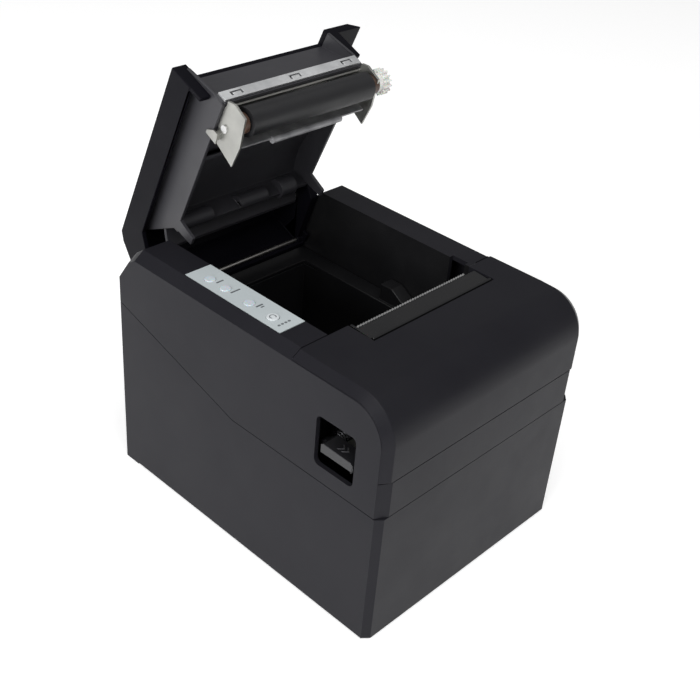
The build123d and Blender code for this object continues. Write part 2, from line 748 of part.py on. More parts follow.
with BuildPart() as power_rocker:
    rocker_top = [
        (rocker_x - 6.6, 87.0),
        (rocker_x - 6.6, 91.8),
        (rocker_x, 91.2),
        (rocker_x + 6.6, 93.2),
        (rocker_x + 6.6, 88.5),
        (rocker_x + 2.2, 85.5),
        (rocker_x - 2.2, 85.5),
    ]
    with BuildSketch(Plane.XY.offset(rocker_z - 4.4)) as rocker_face:
        with BuildLine():
            Polyline(*rocker_top, close=True)
        make_face()
    extrude(rocker_face.sketch, amount=8.8)
    rod_z(rocker_x, 88.0, 1.2 + running_gap, rocker_z - 8, rocker_z + 8, mode=Mode.SUBTRACT)

with BuildPart() as paper_sensor:
    block((centre - 6, -24, 79), (centre + 2, -18, 83.6))
    rod_z(centre - 2, -21, 1.6, 83.6, 85.4)

# ================================================================ lid
with BuildPart() as hinge_shaft:
    rod_x(hinge_y, hinge_z, hinge_radius, bay_left - 2.4, bay_right + 2.4)

with BuildPart() as lid_cap_shut:
    add(upper_form)
    block((-80, -100, -5), (lid_left, 100, 150), mode=Mode.SUBTRACT)
    block((-80, -100, -5), (80, lid_front, 150), mode=Mode.SUBTRACT)
    block((-80, -100, -5), (80, 100, 92.2), mode=Mode.SUBTRACT)
    # Thin flange over the right rim, thicker skin and rear wall over the bay.
    side_plate(flange_inner, bay_right - 0.6, 80, mode=Mode.SUBTRACT)
    side_plate(skin_inner, lid_left + 2.4, bay_right - 2.6, mode=Mode.SUBTRACT)
    side_wall = [(-60, 60), (-60, 120), (66, 120), (84, 105), (84, 60)]
    side_plate(side_wall, lid_left - 1, lid_left + 3, mode=Mode.SUBTRACT)
    side_plate(side_wall, bay_right - 3, bay_right - 0.5, mode=Mode.SUBTRACT)
    # Mouth for the paper, between the cheeks.
    block((cheek_left + 1.8, -60, 90), (cheek_right - 1.8, -24, 150), mode=Mode.SUBTRACT)
    # Screw posts for the inner frame.
    for x in lid_post_lines:
        rod_z(x, lid_post_y, 3.4, 112.2, height - lid_skin + 0.5)
        rod_z(x, lid_post_y, 1.5, 111, 124, mode=Mode.SUBTRACT)
    # Webs that close the front corners between the skin and the inner frame.
    web_top = height - lid_skin + 0.3
    block((lid_left + 0.2, lid_front, 112), (cheek_left - 0.1, lid_front + 2, web_top))
    block((cheek_right + 0.1, lid_front, 112), (bay_right - 0.7, lid_front + 2, web_top))
    # Hinge knuckles with an arm up to the skin; the right arm is a broad plate.
    knuckle_arm = [(88.2, 95.5), (84, 112), (70, 131.2), (78, 131.2), (90.5, 116), (92.6, 95.5)]
    broad_arm = [(88.2, 95.5), (76, 96.5), (58, 98), (50, 108), (48, 131.2)] + knuckle_arm[3:]
    left_knuckle = (lid_left, lid_left + 4.6, knuckle_arm)
    right_knuckle = (bay_right - 6.0, bay_right - 0.6, broad_arm)
    for x_low, x_high, arm_outline in (left_knuckle, right_knuckle):
        side_plate(arm_outline, x_low, x_high)
        rod_x(hinge_y, hinge_z, 2.7, x_low, x_high)
    rod_x(66.0, 110.0, 2.6, bay_right - 7, bay_right, mode=Mode.SUBTRACT)
    # The rear wall is relieved round the shaft between the knuckles.
    rod_x(hinge_y, hinge_z, hinge_radius + 0.35, lid_left + 4.6, bay_right - 6, Mode.SUBTRACT)
    rod_x(hinge_y, hinge_z, hinge_radius + running_gap, -60, 60, mode=Mode.SUBTRACT)

with BuildPart() as lid_frame_shut:
    inner_wall = [
        (-33.2, height - lid_skin),
        (-35.2, 111.5),
        (-34.2, frame_bottom),
        (43.4, frame_bottom),
        (45.0, 92.6),
        (49.4, 92.6),
        (50.2, frame_bottom + 1.5),
        (71.0, 124.0),
        (73.0, height - lid_skin),
    ]
    side_plate(inner_wall, cheek_left, cheek_left + 1.8)
    side_plate(inner_wall, cheek_right - 1.8, cheek_right)
    # Front beam with the sloping end wall over it.
    beam = [(-34.8, 104.2), (-34.8, 111.5), (-31.4, 111.5), (-24.6, 131.0), (-22.4, 131.0)]
    beam += [(-28.8, 111.5), (-21.0, 111.5), (-21.0, 104.2)]
    side_plate(beam, cheek_left + 1.8, cheek_right - 1.8)
    # Ceiling over the paper roll.
    side_plate([(-21, 110), (4, 110), (4, 112), (-21, 112)], cheek_left, cheek_right)
    with BuildSketch(Plane.YZ.offset(cheek_left + 1)) as ceiling:
        with Locations((roll_y, 72)):
            Circle(48)
            Circle(46, mode=Mode.SUBTRACT)
        with Locations((roll_y, 125)):
            Rectangle(66, 38, mode=Mode.INTERSECT)
    extrude(ceiling.sketch, amount=cheek_right - cheek_left - 2)
    for x in lid_post_lines:
        rod_z(x, lid_post_y, 1.5, 100, 120, mode=Mode.SUBTRACT)
    # Rail under the rear of the ceiling, with three rounded bosses.
    block((cheek_left + 1, 50.6, 104.0), (cheek_right - 1, 52.4, 115.6))
    for x_low, x_high, boss in ((-38, -18, 4.2), (0, 20, 4.2), (29, 40, 5.4)):
        rod_x(51.5, 108.0, boss, x_low, x_high)

with BuildPart() as lid_screws_shut:
    for x in lid_post_lines:
        rod_z(x, lid_post_y, 1.4, 110.0, 122.0)
        rod_z(x, lid_post_y, 2.6, 108.0, 110.0)
        block((x - 1.8, -8.35, 107), (x + 1.8, -7.65, 108.8), mode=Mode.SUBTRACT)

bracket_left = centre - 44.5
bracket_right = centre + 43.3
bracket_sheet = 1.2
bearing_radius = 5.0
shaft_radius = 3.0
core_radius = 4.0
hub_left = 48.8

with BuildPart() as platen_bracket_shut:
    flange = [
        (-38.4, 99.5),
        (-36.8, 103.4),
        (-21.2, 103.4),
        (-13.2, 103.4),
        (-12.7, 101.5),
        (-9.3, 88.2),
        (-22.0, 87.6),
        (-37.0, 90.6),
    ]
    side_plate(flange, bracket_left, bracket_left + bracket_sheet)
    side_plate(flange, bracket_right, bracket_right + bracket_sheet)
    # Web under the front beam that joins the two flanges.
    block((bracket_left, -33.0, 102.8), (bracket_right + bracket_sheet, -21.0, frame_bottom))
    # Small ear that hooks behind the lid frame.
    ear = [(-20.0, 103.4), (-20.0, 100.2), (-14.6, 99.4), (-15.2, 107.2), (-17.0, 107.2)]
    side_plate(ear, cheek_left - 0.9, cheek_left - 0.1)
    block((cheek_left - 0.9, -19.4, 100.4), (bracket_left, -15.6, 102.9))
    # The right bearing passes through its flange; the left one sits inside its own.
    rod_x(platen_y, platen_z, bearing_radius, 0, 60, mode=Mode.SUBTRACT)

with BuildPart() as platen_bearings_shut:
    left_bearing = (bracket_left + bracket_sheet, bracket_left + 3.6)
    right_bearing = (bracket_right - 1.2, hub_left)
    for x_low, x_high in (left_bearing, right_bearing):
        rod_x(platen_y, platen_z, bearing_radius, x_low, x_high)
    rod_x(platen_y, platen_z, shaft_radius + running_gap, -60, 60, mode=Mode.SUBTRACT)

with BuildPart() as bracket_pins_shut:
    rod_x(-23.3, 99.4, 2.0, bracket_left - 0.9, bracket_left)
    rod_x(-23.3, 99.4, 2.0, bracket_right + 1.2, bracket_right + 2.1)

with BuildPart() as counter_blade_shut:
    block((cheek_left + 2.0, -36.1, 105.0), (cheek_right - 2.0, -34.9, 110.4))
    for x in (-32, 5, 40):
        block((x - 3.6, -40, 106.6), (x + 3.6, -30, 109.0), mode=Mode.SUBTRACT)
        block((x - 2.4, -36.1, 106.6), (x + 2.4, -34.9, 108.2))

guide_left = centre - 40.4
guide_right = centre + 40.4

with BuildPart() as paper_guide_shut:
    block((guide_left, -19.6, 89.4), (guide_right, -18.6, frame_bottom))
    block((guide_left, -21.0, 102.8), (guide_right, -18.6, frame_bottom))
    # Rolled edge over the middle, a slot at the right and a rivet at the left.
    rod_x(-18.6, 89.2, 1.8, centre - 22, centre + 24)
    block((centre + 11.5, -25, 94.7), (centre + 36.5, -15, 96.2), mode=Mode.SUBTRACT)
    rod_y(centre - 22.6, 98.0, 1.4, -20.2, -19.6)

roller_left = centre - platen_length / 2
roller_right = centre + platen_length / 2

with BuildPart() as platen_roller_shut:
    rod_x(platen_y, platen_z, platen_radius, roller_left, roller_right)
    rod_x(platen_y, platen_z, core_radius, -60, 60, mode=Mode.SUBTRACT)

with BuildPart() as platen_shaft_shut:
    rod_x(platen_y, platen_z, shaft_radius, bracket_left + bracket_sheet + 0.1, gear_right)
    rod_x(platen_y, platen_z, core_radius, roller_left, roller_right)

with BuildPart() as platen_gear_shut:
    platen_face = gear_outline(
        Plane.YZ.offset(gear_left), platen_y, platen_z, platen_teeth, 0.2
    )
    extrude(platen_face, amount=gear_right - gear_left)
    rod_x(platen_y, platen_z, bearing_radius, hub_left + 0.1, gear_left)
    rod_x(platen_y, platen_z, shaft_radius, 40, 60, mode=Mode.SUBTRACT)


def opened(shut):
    """The same piece, swung from the shut lid to the open one."""
    with BuildPart() as turned:
        with Locations(lid_open):
            add(shut.part)
    return turned


lid_cap = opened(lid_cap_shut)
lid_frame = opened(lid_frame_shut)
lid_screws = opened(lid_screws_shut)
platen_bracket = opened(platen_bracket_shut)
platen_bearings = opened(platen_bearings_shut)
bracket_pins = opened(bracket_pins_shut)
counter_blade = opened(counter_blade_shut)
paper_guide = opened(paper_guide_shut)
platen_roller = opened(platen_roller_shut)
platen_shaft = opened(platen_shaft_shut)
platen_gear = opened(platen_gear_shut)

# ================================================================ export
base_shell.part.label = "base_shell"
export_step(base_shell.part, "parts/base_shell.step")
bottom_plate.part.label = "bottom_plate"
export_step(bottom_plate.part, "parts/bottom_plate.step")
rubber_feet.part.label = "rubber_feet"
export_step(rubber_feet.part, "parts/rubber_feet.step")
base_screws.part.label = "base_screws"
export_step(base_screws.part, "parts/base_screws.step")
upper_shell.part.label = "upper_shell"
export_step(upper_shell.part, "parts/upper_shell.step")
front_cover.part.label = "front_cover"
export_step(front_cover.part, "parts/front_cover.step")
exit_lip.part.label = "exit_lip"
export_step(exit_lip.part, "parts/exit_lip.step")
tear_bar.part.label = "tear_bar"
export_step(tear_bar.part, "parts/tear_bar.step")
indicator_panel.part.label = "indicator_panel"
export_step(indicator_panel.part, "parts/indicator_panel.step")
status_lenses.part.label = "status_lenses"
export_step(status_lenses.part, "parts/status_lenses.step")
feed_button.part.label = "feed_button"
export_step(feed_button.part, "parts/feed_button.step")
panel_board.part.label = "panel_board"
export_step(panel_board.part, "parts/panel_board.step")
paper_bay.part.label = "paper_bay"
export_step(paper_bay.part, "parts/paper_bay.step")
lower_guide.part.label = "lower_guide"
export_step(lower_guide.part, "parts/lower_guide.step")
mech_frame.part.label = "mech_frame"
export_step(mech_frame.part, "parts/mech_frame.step")
mech_screws.part.label = "mech_screws"
export_step(mech_screws.part, "parts/mech_screws.step")
print_head.part.label = "print_head"
export_step(print_head.part, "parts/print_head.step")
heat_sink.part.label = "heat_sink"
export_step(heat_sink.part, "parts/heat_sink.step")
head_springs.part.label = "head_springs"
export_step(head_springs.part, "parts/head_springs.step")
spring_bracket.part.label = "spring_bracket"
export_step(spring_bracket.part, "parts/spring_bracket.step")
feed_motor.part.label = "feed_motor"
export_step(feed_motor.part, "parts/feed_motor.step")
motor_pinion.part.label = "motor_pinion"
export_step(motor_pinion.part, "parts/motor_pinion.step")
drive_gear.part.label = "drive_gear"
export_step(drive_gear.part, "parts/drive_gear.step")
gear_stud.part.label = "gear_stud"
export_step(gear_stud.part, "parts/gear_stud.step")
cutter_frame.part.label = "cutter_frame"
export_step(cutter_frame.part, "parts/cutter_frame.step")
cutter_blade.part.label = "cutter_blade"
export_step(cutter_blade.part, "parts/cutter_blade.step")
cutter_motor.part.label = "cutter_motor"
export_step(cutter_motor.part, "parts/cutter_motor.step")
cutter_gearbox.part.label = "cutter_gearbox"
export_step(cutter_gearbox.part, "parts/cutter_gearbox.step")
release_latch.part.label = "release_latch"
export_step(release_latch.part, "parts/release_latch.step")
lever_spring.part.label = "lever_spring"
export_step(lever_spring.part, "parts/lever_spring.step")
main_board.part.label = "main_board"
export_step(main_board.part, "parts/main_board.step")
board_pillars.part.label = "board_pillars"
export_step(board_pillars.part, "parts/board_pillars.step")
port_panel.part.label = "port_panel"
export_step(port_panel.part, "parts/port_panel.step")
dc_inlet.part.label = "dc_inlet"
export_step(dc_inlet.part, "parts/dc_inlet.step")
serial_socket.part.label = "serial_socket"
export_step(serial_socket.part, "parts/serial_socket.step")
usb_socket.part.label = "usb_socket"
export_step(usb_socket.part, "parts/usb_socket.step")
drawer_socket.part.label = "drawer_socket"
export_step(drawer_socket.part, "parts/drawer_socket.step")
switch_body.part.label = "switch_body"
export_step(switch_body.part, "parts/switch_body.step")
power_rocker.part.label = "power_rocker"
export_step(power_rocker.part, "parts/power_rocker.step")
paper_sensor.part.label = "paper_sensor"
export_step(paper_sensor.part, "parts/paper_sensor.step")
hinge_shaft.part.label = "hinge_shaft"
export_step(hinge_shaft.part, "parts/hinge_shaft.step")
lid_cap.part.label = "lid_cap"
export_step(lid_cap.part, "parts/lid_cap.step")
lid_frame.part.label = "lid_frame"
export_step(lid_frame.part, "parts/lid_frame.step")
lid_screws.part.label = "lid_screws"
export_step(lid_screws.part, "parts/lid_screws.step")
platen_bracket.part.label = "platen_bracket"
export_step(platen_bracket.part, "parts/platen_bracket.step")
platen_bearings.part.label = "platen_bearings"
export_step(platen_bearings.part, "parts/platen_bearings.step")
bracket_pins.part.label = "bracket_pins"
export_step(bracket_pins.part, "parts/bracket_pins.step")
counter_blade.part.label = "counter_blade"
export_step(counter_blade.part, "parts/counter_blade.step")
paper_guide.part.label = "paper_guide"
export_step(paper_guide.part, "parts/paper_guide.step")
platen_roller.part.label = "platen_roller"
export_step(platen_roller.part, "parts/platen_roller.step")
platen_shaft.part.label = "platen_shaft"
export_step(platen_shaft.part, "parts/platen_shaft.step")
platen_gear.part.label = "platen_gear"
export_step(platen_gear.part, "parts/platen_gear.step")
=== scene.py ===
"""Receipt printer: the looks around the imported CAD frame."""

import json
from math import cos, pi, radians, sin

import bmesh
import bpy
from mathutils import Matrix, Vector


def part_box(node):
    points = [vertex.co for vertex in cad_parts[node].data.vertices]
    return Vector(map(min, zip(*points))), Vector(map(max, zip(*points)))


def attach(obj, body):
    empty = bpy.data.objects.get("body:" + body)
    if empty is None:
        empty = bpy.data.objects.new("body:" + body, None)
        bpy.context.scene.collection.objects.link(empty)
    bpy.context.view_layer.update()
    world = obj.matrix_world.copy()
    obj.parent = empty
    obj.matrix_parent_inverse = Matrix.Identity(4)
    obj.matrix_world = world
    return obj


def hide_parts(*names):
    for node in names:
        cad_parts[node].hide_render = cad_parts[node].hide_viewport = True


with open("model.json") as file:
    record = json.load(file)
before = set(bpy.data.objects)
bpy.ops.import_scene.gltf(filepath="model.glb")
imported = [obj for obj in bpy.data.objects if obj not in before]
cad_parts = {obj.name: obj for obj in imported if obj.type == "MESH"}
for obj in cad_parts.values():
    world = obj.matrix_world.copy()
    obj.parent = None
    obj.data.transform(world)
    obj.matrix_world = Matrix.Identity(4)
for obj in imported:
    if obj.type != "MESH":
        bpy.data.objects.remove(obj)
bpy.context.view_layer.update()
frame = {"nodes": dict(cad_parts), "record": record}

nodes = frame["nodes"]
MM = 0.001
GRAIN_DEPTH = 0.06 * MM
DRAWN_DEPTH = 0.03 * MM


# ---------------------------------------------------------------- material helpers
def new_material(name, **values):
    """A material with its Principled shader, and the given sockets set on it."""
    material = bpy.data.materials.new(name)
    material.use_nodes = True
    shader = material.node_tree.nodes["Principled BSDF"]
    for socket, value in values.items():
        shader.inputs[socket.replace("_", " ").title().replace("Ior", "IOR")].default_value = value
    return material, shader


def add_node(material, kind, **inputs):
    node = material.node_tree.nodes.new("ShaderNode" + kind)
    for name, value in inputs.items():
        node.inputs[name.replace("_", " ").title()].default_value = value
    return node


def place(material, stretch=(1, 1, 1)):
    """Coordinates on the object, in metres, stretched for brushed or drawn surfaces."""
    where = add_node(material, "TexCoord")
    mapping = add_node(material, "Mapping")
    mapping.inputs["Scale"].default_value = stretch
    material.node_tree.links.new(where.outputs["Object"], mapping.inputs["Vector"])
    return mapping.outputs["Vector"]


def noise(material, where, scale, detail=3.0, roughness=0.5):
    texture = add_node(material, "TexNoise", scale=scale, detail=detail, roughness=roughness)
    material.node_tree.links.new(where, texture.inputs["Vector"])
    return texture.outputs["Fac"]


def spread(material, value, low, high, start=0.3, stop=0.7):
    """Maps a noise value to a range of numbers."""
    ranged = add_node(material, "MapRange")
    ranged.inputs["From Min"].default_value = start
    ranged.inputs["From Max"].default_value = stop
    ranged.inputs["To Min"].default_value = low
    ranged.inputs["To Max"].default_value = high
    material.node_tree.links.new(value, ranged.inputs["Value"])
    return ranged.outputs["Result"]


def blend_colours(material, factor, first, second):
    mix = material.node_tree.nodes.new("ShaderNodeMix")
    mix.data_type = "RGBA"
    mix.inputs[6].default_value = (*first, 1)
    mix.inputs[7].default_value = (*second, 1)
    material.node_tree.links.new(factor, mix.inputs[0])
    return mix.outputs[2]


def add_bumps(material, shader, layers):
    """Stacks bump layers: each is a height, its strength and its depth in metres."""
    links = material.node_tree.links
    below = None
    for height, strength, depth in layers:
        bump = add_node(material, "Bump", strength=strength, distance=depth)
        links.new(height, bump.inputs["Height"])
        if below is not None:
            links.new(below, bump.inputs["Normal"])
        below = bump.outputs["Normal"]
    links.new(below, shader.inputs["Normal"])


def moulded(name, dark, light, rough, grain=1900.0, strength=0.25, **values):
    """Moulded plastic or rubber: fine spark-eroded grain, faint clouding and handling sheen."""
    material, shader = new_material(name, **values)
    links = material.node_tree.links
    where = place(material)
    cloud = noise(material, where, 22.0, 4.0)
    smear = noise(material, where, 60.0, 5.0, 0.6)
    fine = noise(material, where, grain, 2.0)
    colour = blend_colours(material, spread(material, cloud, 0, 1), dark, light)
    links.new(colour, shader.inputs["Base Color"])
    links.new(spread(material, smear, rough[0], rough[1]), shader.inputs["Roughness"])
    add_bumps(material, shader, [(fine, strength, GRAIN_DEPTH)])
    return material


def metal(name, dark, light, rough, stretch, grain=900.0, strength=0.2):
    """Bare or plated metal, drawn out along one direction."""
    material, shader = new_material(name, metallic=1.0)
    links = material.node_tree.links
    lines = noise(material, place(material, stretch), grain, 3.0)
    cloud = noise(material, place(material), 45.0, 4.0)
    colour = blend_colours(material, spread(material, cloud, 0, 1), dark, light)
    links.new(colour, shader.inputs["Base Color"])
    links.new(spread(material, lines, rough[0], rough[1]), shader.inputs["Roughness"])
    add_bumps(material, shader, [(lines, strength, DRAWN_DEPTH)])
    return material


# ---------------------------------------------------------------- materials
housing_black = moulded(
    "housing_black", (0.0135, 0.0132, 0.0168), (0.0165, 0.0162, 0.0198), (0.34, 0.41), strength=0.35,
    specular_ior_level=0.10,
)
# A darker copy of the housing black: painted shade on the outside of the lid.
painted_shade_black = moulded(
    "painted_shade_black", (0.0040, 0.0038, 0.0062), (0.0058, 0.0056, 0.0082), (0.36, 0.45), strength=0.35,
    specular_ior_level=0.06,
)
inner_black = moulded(
    "inner_black", (0.0055, 0.0055, 0.0062), (0.0085, 0.0085, 0.0095), (0.40, 0.52), grain=1300.0,
    strength=0.15, specular_ior_level=0.36,
)
# A lighter copy of the housing black: painted light on the inside of the lid and on the lever's chevrons.
painted_light_black = moulded(
    "painted_light_black", (0.0310, 0.0305, 0.0360), (0.0390, 0.0385, 0.0440), (0.38, 0.50), grain=1300.0,
    strength=0.15, specular_ior_level=0.50,
)
guide_grey, guide_shader = new_material("guide_grey", metallic=0.35, specular_ior_level=0.6)
guide_where = place(guide_grey)
guide_grey.node_tree.links.new(
    blend_colours(
        guide_grey, spread(guide_grey, noise(guide_grey, guide_where, 160.0, 5.0), 0, 1),
        (0.20, 0.20, 0.21), (0.36, 0.36, 0.37),
    ),
    guide_shader.inputs["Base Color"],
)
guide_grey.node_tree.links.new(
    spread(guide_grey, noise(guide_grey, guide_where, 420.0), 0.34, 0.5), guide_shader.inputs["Roughness"]
)
rod_steel = metal("rod_steel", (0.66, 0.64, 0.61), (0.74, 0.72, 0.69), (0.30, 0.36), (1, 1, 1), strength=0.02)
lever_black = moulded(
    "lever_black", (0.012, 0.012, 0.014), (0.018, 0.018, 0.021), (0.26, 0.36), strength=0.1
)
strip_black = moulded(
    "strip_black", (0.010, 0.010, 0.011), (0.014, 0.014, 0.015), (0.20, 0.28), strength=0.06
)
zinc = metal("zinc_steel", (0.36, 0.36, 0.34), (0.56, 0.56, 0.53), (0.32, 0.52), (1, 14, 14), strength=0.4)
blade_steel = metal(
    "blade_steel", (0.62, 0.63, 0.64), (0.92, 0.93, 0.94), (0.44, 0.60), (1, 6, 6), grain=500.0, strength=0.3
)
bright = metal("bright_steel", (0.60, 0.60, 0.60), (0.78, 0.78, 0.78), (0.20, 0.36), (1, 22, 22))
screw_steel = metal("dark_screws", (0.10, 0.10, 0.11), (0.18, 0.18, 0.19), (0.3, 0.5), (1, 1, 1))
wire = metal("spring_steel", (0.42, 0.42, 0.44), (0.55, 0.55, 0.57), (0.2, 0.34), (1, 1, 1))
aluminium = metal("aluminium", (0.60, 0.61, 0.62), (0.72, 0.73, 0.74), (0.3, 0.45), (1, 20, 20))
ceramic = moulded("ceramic", (0.26, 0.24, 0.21), (0.34, 0.32, 0.28), (0.12, 0.22), strength=0.05)
foot_rubber = moulded("foot_rubber", (0.022, 0.022, 0.022), (0.035, 0.035, 0.035), (0.7, 0.85), grain=900.0)
platen_rubber = moulded(
    "platen_rubber", (0.008, 0.008, 0.009), (0.013, 0.013, 0.015), (0.42, 0.55), grain=2600.0, strength=0.3
)
nylon = moulded(
    "white_nylon", (0.74, 0.74, 0.70), (0.86, 0.86, 0.83), (0.35, 0.5), strength=0.1,
    subsurface_weight=0.15, subsurface_scale=0.002,
)
brass = metal("brass", (0.62, 0.46, 0.18), (0.80, 0.62, 0.28), (0.22, 0.36), (1, 1, 1))
bushing = moulded("brown_bushing", (0.055, 0.028, 0.018), (0.09, 0.05, 0.032), (0.3, 0.45), strength=0.1)
label_grey = moulded(
    "label_grey", (0.500, 0.550, 0.565), (0.545, 0.595, 0.610), (0.42, 0.52), grain=2400.0, strength=0.08
)
lens = moulded(
    "lens_white", (0.60, 0.65, 0.70), (0.70, 0.75, 0.80), (0.12, 0.2), strength=0.02,
    subsurface_weight=0.3, subsurface_scale=0.002, coat_weight=0.5,
)
button_grey = moulded("button_grey", (0.66, 0.70, 0.72), (0.74, 0.78, 0.80), (0.25, 0.35), strength=0.05)
circuit = moulded("circuit_board", (0.012, 0.09, 0.04), (0.02, 0.14, 0.06), (0.25, 0.4), strength=0.1)
can = metal("motor_metal", (0.30, 0.30, 0.31), (0.42, 0.42, 0.43), (0.3, 0.45), (18, 1, 1))
socket = moulded("socket_black", (0.012, 0.012, 0.013), (0.020, 0.020, 0.021), (0.25, 0.38), strength=0.08)
rocker_gloss = moulded(
    "rocker_black", (0.010, 0.010, 0.010), (0.018, 0.018, 0.018), (0.12, 0.2), strength=0.02
)
pillar = moulded("pillar_nylon", (0.66, 0.66, 0.62), (0.78, 0.78, 0.74), (0.4, 0.5), strength=0.1)
ink = moulded("label_ink", (0.10, 0.11, 0.12), (0.15, 0.16, 0.17), (0.45, 0.55), strength=0.05)

FINISH = {
    "housing_black": housing_black,
    "inner_black": inner_black,
    "zinc_steel": zinc,
    "bright_steel": bright,
    "dark_screws": screw_steel,
    "spring_steel": wire,
    "aluminium": aluminium,
    "ceramic": ceramic,
    "foot_rubber": foot_rubber,
    "platen_rubber": platen_rubber,
    "white_nylon": nylon,
    "brass": brass,
    "brown_bushing": bushing,
    "label_grey": label_grey,
    "lens_white": lens,
    "button_grey": button_grey,
    "circuit_board": circuit,
    "motor_metal": can,
    "socket_black": socket,
    "rocker_black": rocker_gloss,
    "pillar_nylon": pillar,
}
slot_of = {s["node"]: s["material_slot"] for s in frame["record"]["subparts"]}
body_of = {n: b for b, members in frame["record"]["behaviour"]["bodies"].items() for n in members}


def paint(piece, material):
    piece.data.materials.clear()
    piece.data.materials.append(material)


for node_name, node in nodes.items():
    paint(node, FINISH[slot_of[node_name]])
paint(nodes["lid_cap"], painted_shade_black)
paint(nodes["release_latch"], lever_black)
paint(nodes["exit_lip"], strip_black)
paint(nodes["lid_frame"], painted_light_black)
paint(nodes["hinge_shaft"], rod_steel)
paint(nodes["paper_guide"], guide_grey)
paint(nodes["counter_blade"], blade_steel)
paint(nodes["lever_spring"], screw_steel)


# ---------------------------------------------------------------- softened mouldings
MERGE_DISTANCE = 0.002 * MM
FLAT_ANGLE = radians(0.6)
SHARP_ANGLE = radians(28.0)


def clean_copy(name):
    """Stands for a CAD node, with its flat faces joined up and its sharp edges marked."""
    mesh = nodes[name].data.copy()
    mesh.name = name + "_soft"
    piece = bpy.data.objects.new(name + "_soft", mesh)
    bpy.context.scene.collection.objects.link(piece)
    shape = bmesh.new()
    shape.from_mesh(mesh)
    bmesh.ops.remove_doubles(shape, verts=shape.verts, dist=MERGE_DISTANCE)
    bmesh.ops.dissolve_limit(
        shape, angle_limit=FLAT_ANGLE, verts=shape.verts, edges=shape.edges, use_dissolve_boundaries=False
    )
    # Many-sided faces with a recess in them would fold over themselves when rounded.
    bmesh.ops.triangulate(shape, faces=shape.faces)
    for face in shape.faces:
        face.smooth = True
    for edge in shape.edges:
        edge.smooth = edge.is_manifold and edge.calc_face_angle(0.0) < SHARP_ANGLE
    shape.to_mesh(mesh)
    shape.free()
    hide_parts(name)
    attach(piece, body_of[name])
    return piece


def round_edges(piece, width):
    bevel = piece.modifiers.new("rounding", "BEVEL")
    bevel.width = width
    bevel.segments = 2
    bevel.limit_method = "ANGLE"
    bevel.angle_limit = SHARP_ANGLE
    bevel.use_clamp_overlap = False
    bevel.harden_normals = True


# Rounding leaves black patches in the shading of upper_shell. base_shell, which meets it, is kept
# sharp too.
KEPT_SHARP = ("base_shell", "upper_shell")
# Width of the rounding in millimetres.
ROUNDED = {
    "front_cover": 0.45,
    "lid_cap": 0.55,
    "lid_frame": 0.30,
    "exit_lip": 0.18,
    "release_latch": 0.45,
    "paper_bay": 0.50,
    "bottom_plate": 0.30,
    "port_panel": 0.20,
    "switch_body": 0.25,
    "power_rocker": 0.35,
    "dc_inlet": 0.25,
    "usb_socket": 0.18,
    "drawer_socket": 0.25,
    "serial_socket": 0.20,
    "platen_bracket": 0.15,
    "paper_guide": 0.12,
    "counter_blade": 0.12,
    "mech_frame": 0.15,
    "heat_sink": 0.12,
    "cutter_gearbox": 0.40,
    "platen_gear": 0.10,
    "drive_gear": 0.10,
}
copies = {name: clean_copy(name) for name in (*KEPT_SHARP, *ROUNDED)}
for rounded_name, rounding in ROUNDED.items():
    round_edges(copies[rounded_name], rounding * MM)

# The walls of the bay are smoother than the grained outside of the housing, and their darker colour is
# painted shade in the recess.
bay_low, bay_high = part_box("paper_bay")
bay_margin = 0.6 * MM
bay_reach_forward = 28 * MM
level_face = 0.9
upper_mesh = copies["upper_shell"].data
upper_mesh.materials.append(inner_black)
for face in upper_mesh.polygons:
    spot = face.center
    across = bay_low.x - bay_margin < spot.x < bay_high.x + bay_margin
    if across and spot.y > bay_low.y - bay_reach_forward and abs(face.normal.z) < level_face:
        face.material_index = 1


# ---------------------------------------------------------------- printed and moulded marks
def raised(name, outlines, base, rise, body, material):
    """Flat shapes with softened rims, standing a little proud of a level surface."""
    shape = bmesh.new()
    for outline in outlines:
        ring = [shape.verts.new((x, y, base)) for x, y in outline]
        top = [shape.verts.new((x, y, base + rise)) for x, y in outline]
        shape.faces.new(top)
        shape.faces.new(ring[::-1])
        for index in range(len(ring)):
            after = (index + 1) % len(ring)
            shape.faces.new((ring[index], ring[after], top[after], top[index]))
    bmesh.ops.recalc_face_normals(shape, faces=shape.faces)
    mesh = bpy.data.meshes.new(name)
    shape.to_mesh(mesh)
    shape.free()
    piece = bpy.data.objects.new(name, mesh)
    bpy.context.scene.collection.objects.link(piece)
    paint(piece, material)
    rim = piece.modifiers.new("rim", "BEVEL")
    rim.width = rise * 0.3
    rim.segments = 1
    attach(piece, body)


def bar(x, y, length, breadth):
    """A short stroke with rounded ends, lying across the printer."""
    points = []
    steps = 6
    for side in (1, -1):
        for step in range(steps + 1):
            angle = -side * pi / 2 + pi * step / steps
            points.append((
                x + side * (length - breadth) / 2 + breadth / 2 * cos(angle),
                y + breadth / 2 * sin(angle),
            ))
    return points


def arc_band(x, y, radius, breadth, start, stop):
    """Part of a ring, as one closed outline."""
    steps = 28
    turns = [radians(start + (stop - start) * step / steps) for step in range(steps + 1)]
    outer = [(x + (radius + breadth / 2) * cos(t), y + (radius + breadth / 2) * sin(t)) for t in turns]
    inner = [(x + (radius - breadth / 2) * cos(t), y + (radius - breadth / 2) * sin(t)) for t in turns]
    return outer + inner[::-1]


def rectangle(left, right, front, rear):
    return [(left, front), (right, front), (right, rear), (left, rear)]


# Marks start a little inside their surface, so that no gap shows under them.
sunk = 0.02 * MM
print_rise = 0.06 * MM
label_low, label_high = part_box("indicator_panel")
lamps_low, lamps_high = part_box("status_lenses")
button_low, button_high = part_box("feed_button")
lamp_radius = (lamps_high.x - lamps_low.x) / 2
lamp_line = (lamps_low.x + lamps_high.x) / 2
lamp_step = 11.2 * MM
rear_lamp = lamps_high.y - lamp_radius
lamp_rows = (rear_lamp, rear_lamp - lamp_step, lamps_low.y + lamp_radius)

